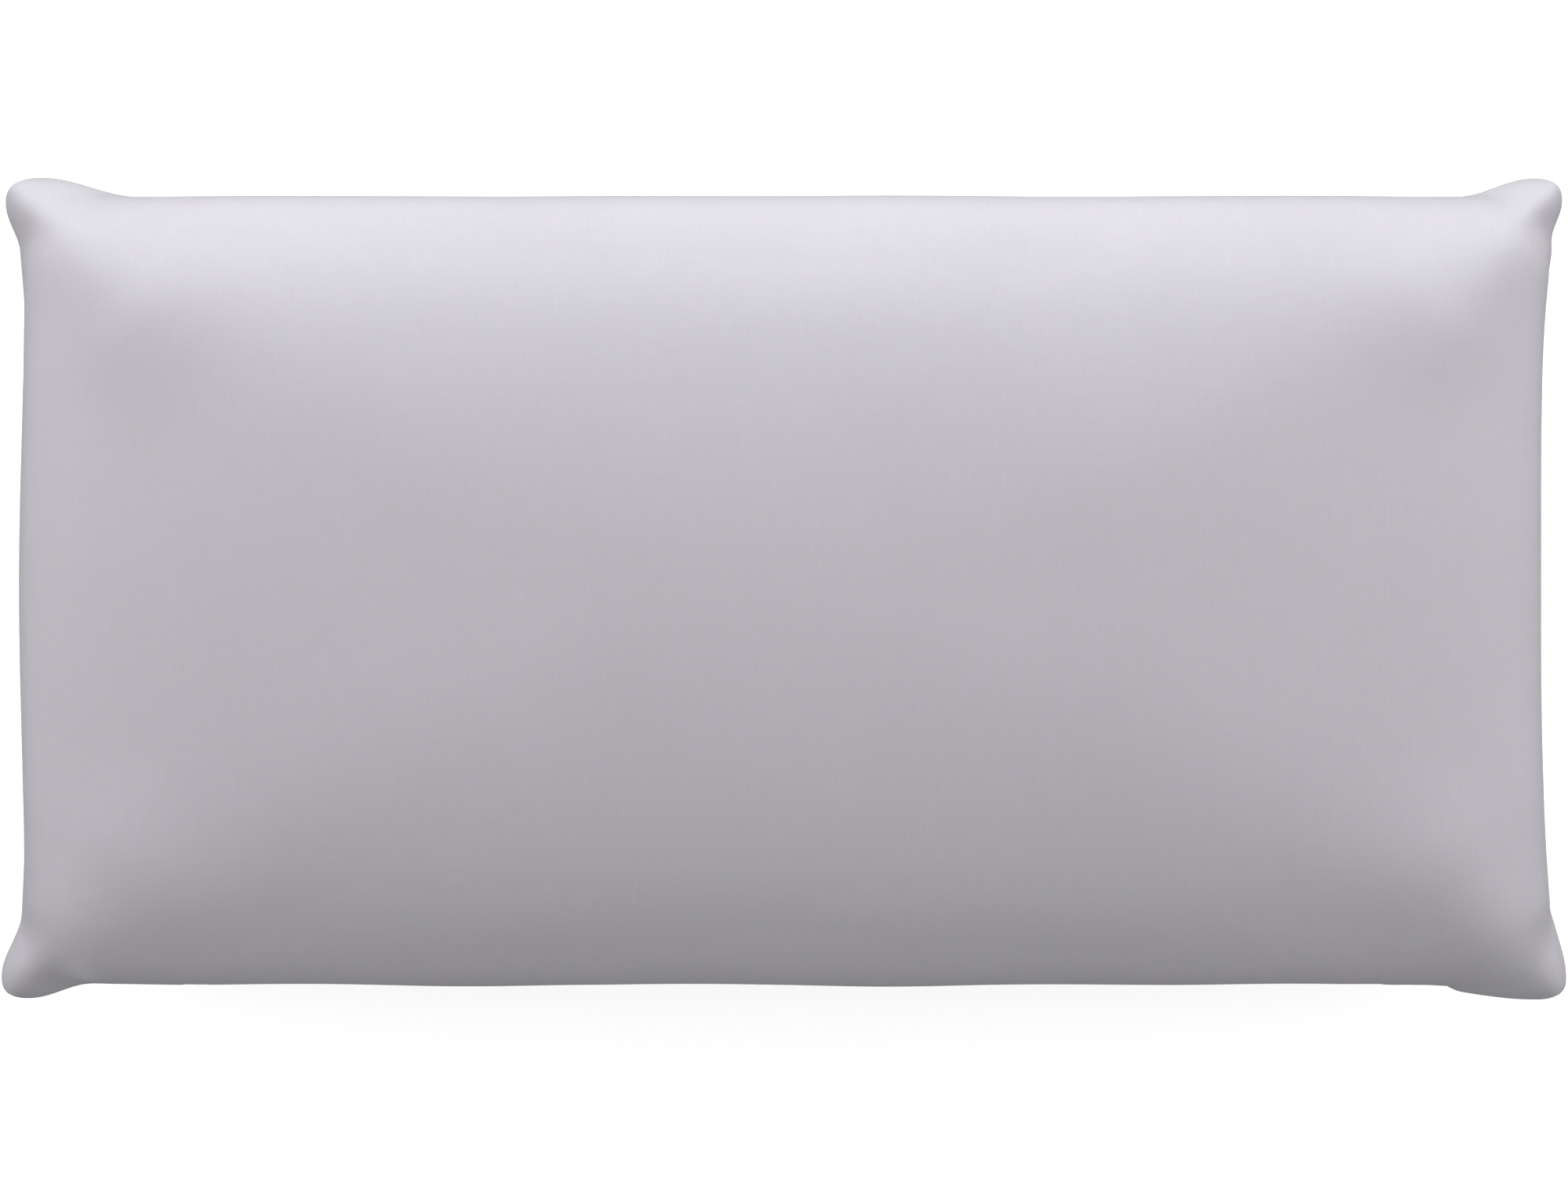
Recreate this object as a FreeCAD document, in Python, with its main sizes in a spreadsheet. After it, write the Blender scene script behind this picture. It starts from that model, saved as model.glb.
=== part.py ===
import FreeCAD, Part
import os
import re
from math import pi

import Sketcher
from FreeCAD import Placement, Rotation, Vector

# A bed pillow: a moulded foam core in a thin liner, inside a knitted cover that closes with a zipper.
#
# Millimetres. X runs along the pillow, Y across it, and Z up from the bed that it lies on.
# The cover's two panels meet at the seam height, and its corners stand out as four soft ears.
# On the -Y side a zipper takes the seam's place, in a shallow valley between the panels.
#
# The zipper's parts are drawn about the middle of its tape: X along it, Z across it, -Y out of the cover.

SIZES = {
    # The whole pillow
    "ear_length": 700.0,  # across the ears, along X
    "ear_width": 367.0,
    "body_length": 675.0,  # between the ends, at half width
    "body_width": 348.0,
    "crown_height": 130.0,
    "seam_height": 60.0,
    # Shape of the body
    "band_low": 10.0,  # half height of the band that lies in the valley
    "band_high": 16.0,  # half height at which the side reaches its full width
    "valley_depth": 5.0,
    "corner_radius": 36.0,
    "crown_power": 2.1,  # exponent of the superellipse that the sections follow
    "crown_run_x": 230.0,  # from the end in to the flat of the crown
    "crown_run_y": 160.0,
    "crown_corner": 12.0,
    "base_run_x": 100.0,  # from the end in to the flat that rests on the bed
    "base_run_y": 85.0,
    "base_corner": 60.0,
    # Ears
    "ear_radius": 14.0,
    "flare_start_x": 276.0,  # where an ear starts to leave the long side
    "flare_start_y": 85.0,
    "ear_hem": 4.0,  # how much shorter the ears are inside
    # Layers, from the outside in
    "cover_thickness": 1.2,
    "cover_gap": 1.0,
    "liner_thickness": 0.6,
    "liner_gap": 0.3,
    # Window in the cover, tapes and teeth
    "window_length": 540.0,
    "window_height": 13.0,
    "window_depth": 20.0,
    "tape_gap": 0.1,
    "tape_thickness": 0.5,
    "tape_far_edge": 12.0,
    "tape_near_edge": 0.4,
    "tape_parted_edge": 1.8,  # beside the slider's post, where the tapes part
    "tape_overhang": 6.0,  # past the window's end
    "tape_parting": 0.5,  # from the last tooth to where the tapes part
    "chain_start": -260.0,
    "chain_end": 257.0,
    "tooth_pitch": 2.5,
    "tooth_width": 1.0,
    "tooth_reach": 0.9,  # past the centre line
    "tooth_root": 2.6,
    "tooth_height": 1.6,
    "tooth_chamfer": 0.25,
    "top_stop_start": 264.5,
    "top_stop_edge": 3.6,  # its far edge, from the centre line
    "bottom_stop_end": -260.5,
    "stop_length": 2.4,
    # Dent that the zipper presses into the liner and the core
    "dent_length": 628.0,
    "dent_height": 32.0,
    "dent_depth": 2.3,  # behind the tape's outer face
    # Slider, about its place along the zipper
    "slider_place": 258.0,
    "slider_length": 12.0,
    "slider_width": 9.2,
    "slider_corner": 1.2,
    "outer_plate_lift": 1.9,
    "outer_plate_thickness": 1.2,
    "inner_plate_drop": 1.9,
    "inner_plate_thickness": 1.1,
    "flange_width": 1.0,
    "flange_depth": 1.5,
    "post_length": 3.0,
    "post_width": 2.8,
    "post_offset": 3.0,
    "arch_length": 3.2,
    "arch_width": 1.8,
    "arch_height": 2.3,
    "arch_round": 0.7,
    "arch_hole": 1.6,
    "pivot_lift": 4.0,  # from the tape to the tab's hinge line
    # Pull tab
    "tab_length": 21.0,
    "tab_width": 5.4,
    "tab_thickness": 0.8,
    "tab_corner": 1.2,
    "tab_slot_width": 2.5,
    "tab_slot_length": 2.8,
    "tab_grip_length": 8.0,
    "tab_grip_width": 2.4,
    "tab_grip_place": 13.5,
    "tab_bar_overlap": 0.2,  # how far the bar runs into each cheek
    # Threads
    "stitch_pitch": 3.2,
    "stitch_length": 2.3,
    "stitch_radius": 0.25,
    "stitch_line": 8.5,
    "thread_radius": 0.2,
    "thread_hem": 6.0,  # how much shorter the seam thread's ears are than the cover's
    "bartack_length": 2.0,
    "bartack_height": 12.0,
    "bartack_thickness": 0.6,
}

# How far in from the side the sections of a soft solid lie, as shares of the run.
RUN_SHARES = (0.0, 0.01, 0.04, 0.12, 0.25, 0.45, 0.7, 1.0)

# The hollow inside a cover panel runs this far past the seam, so that the cut leaves the edge open.
SEAM_OVERLAP = 1.0

# Two heights or places closer than this are the same one.
CLOSE = 0.01

# The four corners in order round the pillow, as the signs of X and Y.
CORNERS = ((1, -1), (1, 1), (-1, 1), (-1, -1))

TAPE_FACE = "(body_width / 2 - valley_depth - cover_thickness - tape_gap)"
CORE_INSET = "(cover_thickness + cover_gap + liner_thickness + liner_gap)"
DENT_GROWTH = "(liner_thickness + liner_gap)"

doc = FreeCAD.newDocument("bed_pillow")
sheet = doc.addObject("Spreadsheet::Sheet", "sizes")


def fill_sheet():
    for row, (alias, value) in enumerate(SIZES.items(), start=1):
        sheet.set(f"A{row}", alias)
        sheet.set(f"B{row}", str(value))
        sheet.setAlias(f"B{row}", alias)
    doc.recompute()


def size(alias):
    """A driving dimension, read from the sheet."""
    return float(getattr(sheet, alias))


def from_sheet(expression):
    """The expression with the name of each size turned into a reference to its cell."""
    return re.sub(
        r"[a-z][a-z_]*",
        lambda word: f"sizes.{word[0]}" if word[0] in SIZES else word[0],
        expression,
    )


def tape_face():
    """The same as TAPE_FACE, as a number: how far the tape's outer face is from the pillow's middle."""
    cover_face = size("body_width") / 2 - size("valley_depth")
    return cover_face - size("cover_thickness") - size("tape_gap")


# ------------------------------------------------------------------ outlines


def arc(centre, radius, start, end):
    """The shorter arc about centre from start to end."""
    middle = (start - centre) + (end - centre)
    middle.normalize()
    return Part.Arc(start, centre + middle * radius, end).toShape()


def closed_wire(corners):
    """Joins each corner's three edges to the next corner's with a straight side."""
    edges = []
    for index, (corner_edges, _, end) in enumerate(corners):
        next_start = corners[(index + 1) % len(corners)][1]
        edges.extend(corner_edges)
        edges.append(Part.makeLine(end, next_start))
    return Part.Wire(edges)


def flare_radius(run, step, tip_radius):
    """Radius of the hollow arc that leaves a side and meets the tip, run along and step across."""
    return (run**2 + step**2 - tip_radius**2) / (2 * (tip_radius - step))


def toward(start, goal, distance):
    direction = goal - start
    direction.normalize()
    return start + direction * distance


def in_order(turn_x, turn_y, edges, long_start, end_start):
    """A corner's edges, start and end, in the order of the way round the pillow."""
    if turn_x * turn_y < 0:
        return edges, long_start, end_start
    return edges[::-1], end_start, long_start


def ear_outline(height, inset, hem=0.0):
    """The outline at the seam. Each ear is a round tip between two hollow flares.

    A flare is tangent to its side, where it starts, and to the tip.
    """
    radius = size("ear_radius")
    tip_x = size("ear_length") / 2 - hem - radius
    tip_y = size("ear_width") / 2 - hem - radius
    start_x, start_y = size("flare_start_x"), size("flare_start_y")
    side_x = size("body_length") / 2
    corners = []
    for turn_x, turn_y in CORNERS:
        side_y = size("body_width") / 2 - (size("valley_depth") if turn_y < 0 else 0.0)
        tip = Vector(turn_x * tip_x, turn_y * tip_y, height)

        hollow = flare_radius(tip_x - start_x, side_y - tip_y, radius)
        long_centre = Vector(turn_x * start_x, turn_y * (side_y + hollow), height)
        long_start = Vector(turn_x * start_x, turn_y * (side_y - inset), height)
        long_tip = toward(tip, long_centre, radius - inset)
        long_flare = arc(long_centre, hollow + inset, long_start, long_tip)

        hollow = flare_radius(tip_y - start_y, side_x - tip_x, radius)
        end_centre = Vector(turn_x * (side_x + hollow), turn_y * start_y, height)
        end_start = Vector(turn_x * (side_x - inset), turn_y * start_y, height)
        end_tip = toward(tip, end_centre, radius - inset)
        end_flare = arc(end_centre, hollow + inset, end_tip, end_start)

        edges = [long_flare, arc(tip, radius - inset, long_tip, end_tip), end_flare]
        corners.append(in_order(turn_x, turn_y, edges, long_start, end_start))
    return closed_wire(corners)


def plain_outline(height, half_x, half_y, corner, valley=0.0):
    """A rounded rectangle with as many edges as the ear outline, its -Y side drawn in by the valley."""
    share_x = size("flare_start_x") / (size("body_length") / 2 - size("corner_radius"))
    share_y = size("flare_start_y") / (size("body_width") / 2 - size("corner_radius"))
    corners = []
    for turn_x, turn_y in CORNERS:
        centre = Vector(turn_x * (half_x - corner), turn_y * (half_y - corner), height)
        side_y = half_y - (valley if turn_y < 0 else 0.0)
        long_start = Vector(centre.x * share_x, turn_y * side_y, height)
        long_end = Vector(centre.x, turn_y * half_y, height)
        end_end = Vector(turn_x * half_x, centre.y, height)
        end_start = Vector(turn_x * half_x, centre.y * share_y, height)
        edges = [
            Part.makeLine(long_start, long_end),
            arc(centre, corner, long_end, end_end),
            Part.makeLine(end_end, end_start),
        ]
        corners.append(in_order(turn_x, turn_y, edges, long_start, end_start))
    return closed_wire(corners)


def superellipse_rise(share):
    """How far up the shoulder a section lies, from 0 at the side to 1 at the flat."""
    power = size("crown_power")
    return (1 - (1 - share) ** power) ** (1 / power)


def shoulder_outlines(inset, up):
    """The sections from the band up to the crown's flat, or down to the flat that rests on the bed."""
    if up:
        band, end = size("seam_height") + size("band_high"), size("crown_height") - inset
        run_x, run_y, end_corner = size("crown_run_x"), size("crown_run_y"), size("crown_corner")
    else:
        band, end = size("seam_height") - size("band_high"), inset
        run_x, run_y, end_corner = size("base_run_x"), size("base_run_y"), size("base_corner")
    outlines = []
    for share in RUN_SHARES:
        height = band + (end - band) * superellipse_rise(share)
        half_x = size("body_length") / 2 - inset - run_x * share
        half_y = size("body_width") / 2 - inset - run_y * share
        corner = size("corner_radius") + (end_corner - size("corner_radius")) * share - inset
        outlines.append(plain_outline(height, half_x, half_y, corner))
    return outlines


# ------------------------------------------------------------------ cover and liner


def add_shape(label, shape, placement=None):
    feature = doc.addObject("Part::Feature", label)
    feature.Label = label
    feature.Shape = shape
    feature.Placement = placement or Placement()
    return feature


def at_zipper():
    """The placement of a part that is drawn about the middle of the zipper's tape."""
    return Placement(Vector(0, -tape_face(), size("seam_height")), Rotation())


def cover_half(inset, up, hem=0.0, past_seam=0.0):
    """All that lies inside the cover's outer face on one side of the seam, inset from that face."""
    seam = size("seam_height")
    sign = 1 if up else -1
    sections = [ear_outline(seam, inset, hem)]
    if past_seam:
        sections.insert(0, ear_outline(seam - sign * past_seam, inset, hem))
    band = plain_outline(
        seam + sign * size("band_low"),
        size("body_length") / 2 - inset,
        size("body_width") / 2 - inset,
        size("corner_radius") - inset,
        size("valley_depth"),
    )
    return Part.makeLoft(sections + [band] + shoulder_outlines(inset, up), True, True)


def cover_panel(label, up):
    """One knitted panel, with its half of the zipper's window cut from the seam edge."""
    outside = cover_half(0.0, up)
    inside = cover_half(size("cover_thickness"), up, size("ear_hem"), SEAM_OVERLAP)
    length, height = size("window_length"), size("window_height")
    corner = Vector(-length / 2, -size("body_width") / 2, size("seam_height") - height / 2)
    window = Part.makeBox(length, size("window_depth"), height, corner)
    return add_shape(label, outside.cut(inside).cut(window))


def plain_solid(inset):
    """A pillow with no ears or valley, inset from the cover's outer face."""
    sections = shoulder_outlines(inset, up=False)[::-1] + shoulder_outlines(inset, up=True)
    return Part.makeLoft(sections, True, True)


def dent(growth):
    """The space that the zipper presses into the liner, grown on every side."""
    length = size("dent_length") + 2 * growth
    height = size("dent_height") + 2 * growth
    depth = size("body_width") / 2 - (tape_face() - size("dent_depth") - growth)
    corner = Vector(-length / 2, -size("body_width") / 2, size("seam_height") - height / 2)
    return Part.makeBox(length, depth, height, corner)


def liner_half(label, up):
    """Half of the liner that wraps the core, dented where the zipper presses on it."""
    outside = size("cover_thickness") + size("cover_gap")
    wall = size("liner_thickness")
    skin = plain_solid(outside).cut(dent(0.0))
    hollow = plain_solid(outside + wall).cut(dent(wall))
    reach = size("ear_length")
    low = size("seam_height") - (0.0 if up else reach)
    keep = Part.makeBox(reach, reach, reach, Vector(-reach / 2, -reach / 2, low))
    return add_shape(label, skin.cut(hollow).common(keep))


def thread_along(label, edges):
    """A round thread swept along the edges."""
    path = Part.Wire(edges)
    first = path.Edges[0]
    start = first.valueAt(first.FirstParameter)
    along = first.tangentAt(first.FirstParameter)
    circle = Part.Wire(Part.makeCircle(size("thread_radius"), start, along))
    return add_shape(label, path.makePipeShell([circle], True, False))


def cover_seam_thread(label):
    """The thread inside the seam, from one end of the zipper round to the other."""
    inset = size("cover_thickness") + size("thread_radius")
    outline = ear_outline(size("seam_height"), inset, size("thread_hem"))
    return thread_along(label, outline.Edges[:-1])


def liner_seam_thread(label):
    """The thread on the liner's seam, along the three sides that the zipper doesn't dent."""
    inset = size("cover_thickness") + size("cover_gap") - size("thread_radius")
    outline = plain_outline(
        size("seam_height"),
        size("body_length") / 2 - inset,
        size("body_width") / 2 - inset,
        size("corner_radius") - inset,
    )
    return thread_along(label, outline.Edges[2:13])


# ------------------------------------------------------------------ small zipper parts


def chamfered_block(length, height, low, left=0.0):
    """A block on the tape's outer face with its outer edges chamfered."""
    rise = size("tooth_height")
    block = Part.makeBox(length, rise, height, Vector(left, -rise, low))
    outer = [edge for edge in block.Edges if edge.BoundBox.YMax < -rise + CLOSE]
    return block.makeChamfer(size("tooth_chamfer"), outer)


def zipper_teeth(label, side):
    """One row of teeth, half a pitch out of step with the other row."""
    reach, root, pitch = size("tooth_reach"), size("tooth_root"), size("tooth_pitch")
    low = -reach if side > 0 else -root
    first = size("chain_start") + (0.0 if side > 0 else pitch / 2)
    count = int((size("chain_end") - size("tooth_width") - first) / pitch) + 1
    tooth = chamfered_block(size("tooth_width"), root + reach, low)
    teeth = [tooth.translated(Vector(first + index * pitch, 0, 0)) for index in range(count)]
    return add_shape(label, Part.makeCompound(teeth), at_zipper())


def zipper_top_stops(label):
    """A stop on each tape, past the closed end of the teeth."""
    near, far = size("tape_parted_edge"), size("top_stop_edge")
    start, length = size("top_stop_start"), size("stop_length")
    stops = [chamfered_block(length, far - near, low, start) for low in (near, -far)]
    return add_shape(label, Part.makeCompound(stops), at_zipper())


def zipper_bottom_stop(label):
    """The stop that holds both tapes together below the first teeth."""
    root, length = size("tooth_root"), size("stop_length")
    left = size("bottom_stop_end") - length
    return add_shape(label, chamfered_block(length, 2 * root, -root, left), at_zipper())


def cover_face_lift():
    """From the tape's outer face out to the cover's outer face."""
    return size("cover_thickness") + size("tape_gap")


def zipper_stitches(label, side):
    """The row of stitches on one panel that holds its tape."""
    pitch, length, radius = size("stitch_pitch"), size("stitch_length"), size("stitch_radius")
    count = int(size("window_length") / pitch)
    lift = cover_face_lift() + radius
    stitches = []
    for index in range(count):
        start = Vector((index - (count - 1) / 2) * pitch - length / 2, -lift, side * size("stitch_line"))
        stitches.append(Part.makeCylinder(radius, length, start, Vector(1, 0, 0)))
    return add_shape(label, Part.makeCompound(stitches), at_zipper())


def zipper_bartacks(label):
    """A dense bar of stitching across each end of the window."""
    length, height, rise = size("bartack_length"), size("bartack_height"), size("bartack_thickness")
    lift = cover_face_lift() + rise
    bars = []
    for left in (size("window_length") / 2, -size("window_length") / 2 - length):
        bars.append(Part.makeBox(length, rise, height, Vector(left, -lift, -height / 2)))
    return add_shape(label, Part.makeCompound(bars), at_zipper())


# ------------------------------------------------------------------ sketched parts


def new_body(label, place=("0", "0", "0")):
    body = doc.addObject("PartDesign::Body", label)
    body.Label = label
    for axis, expression in zip("xyz", place):
        body.setExpression(f"Placement.Base.{axis}", from_sheet(expression))
    return body


def new_sketch(body, name, plane, at):
    """A sketch on one of the body's planes, offset to the right, up and out of the plane."""
    sketch = body.newObject("Sketcher::SketchObject", name)
    role = next(feature for feature in body.Origin.OriginFeatures if feature.Role == plane)
    sketch.AttachmentSupport = [(role, "")]
    sketch.MapMode = "FlatFace"
    for axis, expression in zip("xyz", at):
        sketch.setExpression(f"AttachmentOffset.Base.{axis}", from_sheet(expression))
    return sketch


def bind(sketch, name, expression, constraint):
    index = sketch.addConstraint(constraint)
    sketch.renameConstraint(index, name)
    sketch.setExpression(f"Constraints.{name}", from_sheet(expression))


def rectangle(body, name, plane, width, height, at):
    """A rectangle centred on the sketch's origin."""
    sketch = new_sketch(body, name, plane, at)
    half_x, half_y = 5.0, 2.0
    corners = [Vector(turn_x * half_x, turn_y * half_y) for turn_x, turn_y in CORNERS]
    for index in range(4):
        sketch.addGeometry(Part.LineSegment(corners[index], corners[(index + 1) % 4]), False)
    for index in range(4):
        sketch.addConstraint(Sketcher.Constraint("Coincident", index, 2, (index + 1) % 4, 1))
        direction = "Horizontal" if index % 2 else "Vertical"
        sketch.addConstraint(Sketcher.Constraint(direction, index))
    sketch.addConstraint(Sketcher.Constraint("Symmetric", 0, 1, 1, 2, -1, 1))
    bind(sketch, "width", width, Sketcher.Constraint("DistanceX", 1, 2, 1, 1, 2 * half_x))
    bind(sketch, "height", height, Sketcher.Constraint("DistanceY", 0, 1, 0, 2, 2 * half_y))
    return sketch


def rounded_rectangle(body, name, straight_x, straight_y, corner, at):
    """A rectangle with round corners, from the lengths of its straight sides and its corner radius."""
    sketch = new_sketch(body, name, "XY_Plane", at)
    half_x, half_y, radius = 300.0, 100.0, 30.0
    for index, (turn_x, turn_y) in enumerate(CORNERS):
        circle = Part.Circle(Vector(turn_x * half_x, turn_y * half_y), Vector(0, 0, 1), radius)
        begin = (index - 1) * pi / 2
        sketch.addGeometry(Part.ArcOfCircle(circle, begin, begin + pi / 2), False)
    arcs = list(sketch.Geometry)
    for index in range(4):
        side = Part.LineSegment(arcs[index].EndPoint, arcs[(index + 1) % 4].StartPoint)
        sketch.addGeometry(side, False)
    for index in range(4):
        sketch.addConstraint(Sketcher.Constraint("Tangent", index, 2, index + 4, 1))
        sketch.addConstraint(Sketcher.Constraint("Tangent", index + 4, 2, (index + 1) % 4, 1))
        direction = "Horizontal" if index % 2 else "Vertical"
        sketch.addConstraint(Sketcher.Constraint(direction, index + 4))
    for index in range(1, 4):
        sketch.addConstraint(Sketcher.Constraint("Equal", 0, index))
    sketch.addConstraint(Sketcher.Constraint("Symmetric", 0, 3, 2, 3, -1, 1))
    bind(sketch, "corner", corner, Sketcher.Constraint("Radius", 0, radius))
    bind(sketch, "straight_x", straight_x, Sketcher.Constraint("DistanceX", 3, 3, 0, 3, 2 * half_x))
    bind(sketch, "straight_y", straight_y, Sketcher.Constraint("DistanceY", 0, 3, 1, 3, 2 * half_y))
    return sketch


def circle(body, name, plane, radius, at):
    sketch = new_sketch(body, name, plane, at)
    sketch.addGeometry(Part.Circle(Vector(0, 0, 0), Vector(0, 0, 1), 1.0), False)
    sketch.addConstraint(Sketcher.Constraint("Coincident", 0, 3, -1, 1))
    bind(sketch, "radius", radius, Sketcher.Constraint("Radius", 0, 1.0))
    return sketch


def pad(body, sketch, length, both_ways=False):
    feature = body.newObject("PartDesign::Pad", f"{sketch.Name}_pad")
    feature.Profile = sketch
    feature.SideType = "Symmetric" if both_ways else "One side"
    feature.setExpression("Length", from_sheet(length))
    return feature


def pocket(body, sketch, length, both_ways=False):
    """Cuts along the sketch's normal, or both ways from it, and makes sure that it cut something."""
    doc.recompute()
    before = body.Shape.Volume
    feature = body.newObject("PartDesign::Pocket", f"{sketch.Name}_pocket")
    feature.Profile = sketch
    feature.SideType = "Symmetric" if both_ways else "One side"
    feature.Reversed = not both_ways
    feature.setExpression("Length", from_sheet(length))
    doc.recompute()
    if not body.Shape.Volume < before:
        raise RuntimeError(f"{feature.Name} cut nothing")
    return feature


def fillet(body, base, radius, wanted):
    """Rounds the edges of base that wanted picks by their bounding box."""
    doc.recompute()
    names = [f"Edge{i}" for i, edge in enumerate(base.Shape.Edges, start=1) if wanted(edge.BoundBox)]
    feature = body.newObject("PartDesign::Fillet", f"{base.Name}_fillet")
    feature.Base = (base, names)
    feature.setExpression("Radius", from_sheet(radius))
    doc.recompute()
    return feature


def runs_out(box):
    """True for a straight edge along Y, out of the cover."""
    return box.XLength < CLOSE and box.ZLength < CLOSE


def foam_core(label):
    """The moulded core: rounded rectangles lofted from flat to flat, then dented by the zipper."""
    body = new_body(label)
    sections = []
    for up in (False, True):
        flat, sign = ("crown", "+") if up else ("base", "-")
        band = f"(seam_height {sign} band_high)"
        end = f"(crown_height - {CORE_INSET})" if up else CORE_INSET
        for share in RUN_SHARES if up else RUN_SHARES[::-1]:
            rise = f"(1 - {1 - share:g} ^ crown_power) ^ (1 / crown_power)"
            corner = f"(corner_radius + ({flat}_corner - corner_radius) * {share} - {CORE_INSET})"
            sections.append(
                rounded_rectangle(
                    body,
                    f"section_{len(sections)}",
                    f"body_length - 2 * ({CORE_INSET} + {flat}_run_x * {share} + {corner})",
                    f"body_width - 2 * ({CORE_INSET} + {flat}_run_y * {share} + {corner})",
                    corner,
                    ("0", "0", f"{band} + ({end} - {band}) * {rise}"),
                )
            )
    loft = body.newObject("PartDesign::AdditiveLoft", "loft")
    loft.Profile = sections[0]
    loft.Sections = sections[1:]
    loft.Ruled = True
    face = f"{TAPE_FACE} - dent_depth - {DENT_GROWTH}"
    length, height = f"dent_length + 2 * {DENT_GROWTH}", f"dent_height + 2 * {DENT_GROWTH}"
    groove = rectangle(body, "dent", "XZ_Plane", length, height, ("0", "seam_height", face))
    pocket(body, groove, "body_width / 2")
    return body


def zipper_body(label, along="0"):
    """An empty body placed where at_zipper places a shape."""
    return new_body(label, (along, f"-1 * {TAPE_FACE}", "seam_height"))


def zipper_tape(label, side):
    """One woven tape: a wide strip, and a narrow one up to the teeth that stops where the tapes part."""
    body = zipper_body(label)
    half = "(window_length / 2 + tape_overhang)"
    strips = (
        ("wide", half, "tape_parted_edge", "tape_far_edge"),
        ("near", "(chain_end + tape_parting)", "tape_near_edge", "tape_parted_edge"),
    )
    for name, right, near, far in strips:
        middle = (f"({right} - {half}) / 2", f"{side} * ({near} + {far}) / 2", "-1 * tape_thickness")
        strip = rectangle(body, name, "XZ_Plane", f"{right} + {half}", f"{far} - {near}", middle)
        pad(body, strip, "tape_thickness")
    return body


def slider_plate(body, name, lift, thickness):
    """One of the slider's two plates, lifted off the tape's outer face."""
    plate = rectangle(body, name, "XZ_Plane", "slider_length", "slider_width", ("0", "0", lift))
    return pad(body, plate, thickness)


def slider_body(label):
    """Two plates with a post between them, a flange beside each row of teeth, and an arch for the tab."""
    body = zipper_body(label, "slider_place")
    outer = slider_plate(body, "outer", "outer_plate_lift", "outer_plate_thickness")
    fillet(body, outer, "slider_corner", runs_out)
    for name, side in (("front", 1), ("back", -1)):
        offset = f"{side} * (slider_width - flange_width) / 2"
        place = ("0", offset, "outer_plate_lift - flange_depth")
        length = "slider_length - 2 * slider_corner"
        flange = rectangle(body, f"{name}_flange", "XZ_Plane", length, "flange_width", place)
        pad(body, flange, "flange_depth")
    place = ("post_offset", "0", "-1 * inner_plate_drop")
    post = rectangle(body, "post", "XZ_Plane", "post_length", "post_width", place)
    pad(body, post, "outer_plate_lift + inner_plate_drop")
    slider_plate(body, "inner", "-1 * inner_plate_drop", "inner_plate_thickness")

    plate_face = "outer_plate_lift + outer_plate_thickness"
    arch = rectangle(body, "arch", "XZ_Plane", "arch_length", "arch_width", ("0", "0", plate_face))
    arch_pad = pad(body, arch, "arch_height")
    top = -(size("outer_plate_lift") + size("outer_plate_thickness") + size("arch_height"))
    fillet(body, arch_pad, "arch_round", lambda box: box.YMax < top + CLOSE and box.XLength < CLOSE)
    hole = rectangle(body, "hole", "XY_Plane", "arch_hole", "arch_hole", ("0", "-1 * pivot_lift", "0"))
    pocket(body, hole, "2 * arch_width", both_ways=True)
    return body


def pull_tab(label):
    """A flat tab. Two cheeks straddle the slider's arch, and a round bar joins them through it."""
    body = zipper_body(label, "slider_place")
    low = "pivot_lift - tab_thickness / 2"

    middle = ("tab_thickness / 2 - tab_length / 2", "0", low)
    plate = rectangle(body, "plate", "XZ_Plane", "tab_length", "tab_width", middle)
    fillet(body, pad(body, plate, "tab_thickness"), "tab_corner", runs_out)
    slot = rectangle(body, "slot", "XZ_Plane", "2 * tab_slot_length", "tab_slot_width", ("0", "0", low))
    pocket(body, slot, "tab_thickness")
    middle = ("-1 * tab_grip_place", "0", low)
    grip = rectangle(body, "grip", "XZ_Plane", "tab_grip_length", "tab_grip_width", middle)
    pocket(body, grip, "tab_thickness")
    bar = circle(body, "bar", "XY_Plane", "tab_thickness / 2", ("0", "-1 * pivot_lift", "0"))
    pad(body, bar, "tab_slot_width + 2 * tab_bar_overlap", both_ways=True)
    return body


# ------------------------------------------------------------------ the whole pillow


def check_objects():
    for item in doc.Objects:
        if "Invalid" in item.State or "Error" in item.State:
            raise RuntimeError(f"{item.Label} is {item.State}")


def write_part(item):
    if item.Shape.isNull() or not item.Shape.isValid():
        raise RuntimeError(f"{item.Label} has no valid shape")
    item.Shape.exportStep(f"parts/{item.Label}.step")
    box = item.Shape.BoundBox
    corners = f"{box.XMin:.1f} {box.YMin:.1f} {box.ZMin:.1f} to {box.XMax:.1f} {box.YMax:.1f} {box.ZMax:.1f}"
    print(f"{item.Label}: {len(item.Shape.Solids)} solids, {item.Shape.Volume / 1000:.3f} cm3, {corners}")


def main():
    fill_sheet()
    parts = [
        cover_panel("cover_front", up=True),
        cover_panel("cover_back", up=False),
        cover_seam_thread("cover_seam_thread"),
        liner_half("liner_front", up=True),
        liner_half("liner_back", up=False),
        liner_seam_thread("liner_seam_thread"),
        foam_core("foam_core"),
        zipper_tape("zipper_tape_front", 1),
        zipper_tape("zipper_tape_back", -1),
        zipper_teeth("zipper_teeth_front", 1),
        zipper_teeth("zipper_teeth_back", -1),
        zipper_top_stops("zipper_top_stops"),
        zipper_bottom_stop("zipper_bottom_stop"),
        zipper_stitches("zipper_stitches_front", 1),
        zipper_stitches("zipper_stitches_back", -1),
        zipper_bartacks("zipper_bartacks"),
        slider_body("slider_body"),
        pull_tab("pull_tab"),
    ]
    doc.recompute()
    check_objects()
    os.makedirs("parts", exist_ok=True)
    for part in parts:
        write_part(part)


main()
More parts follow.
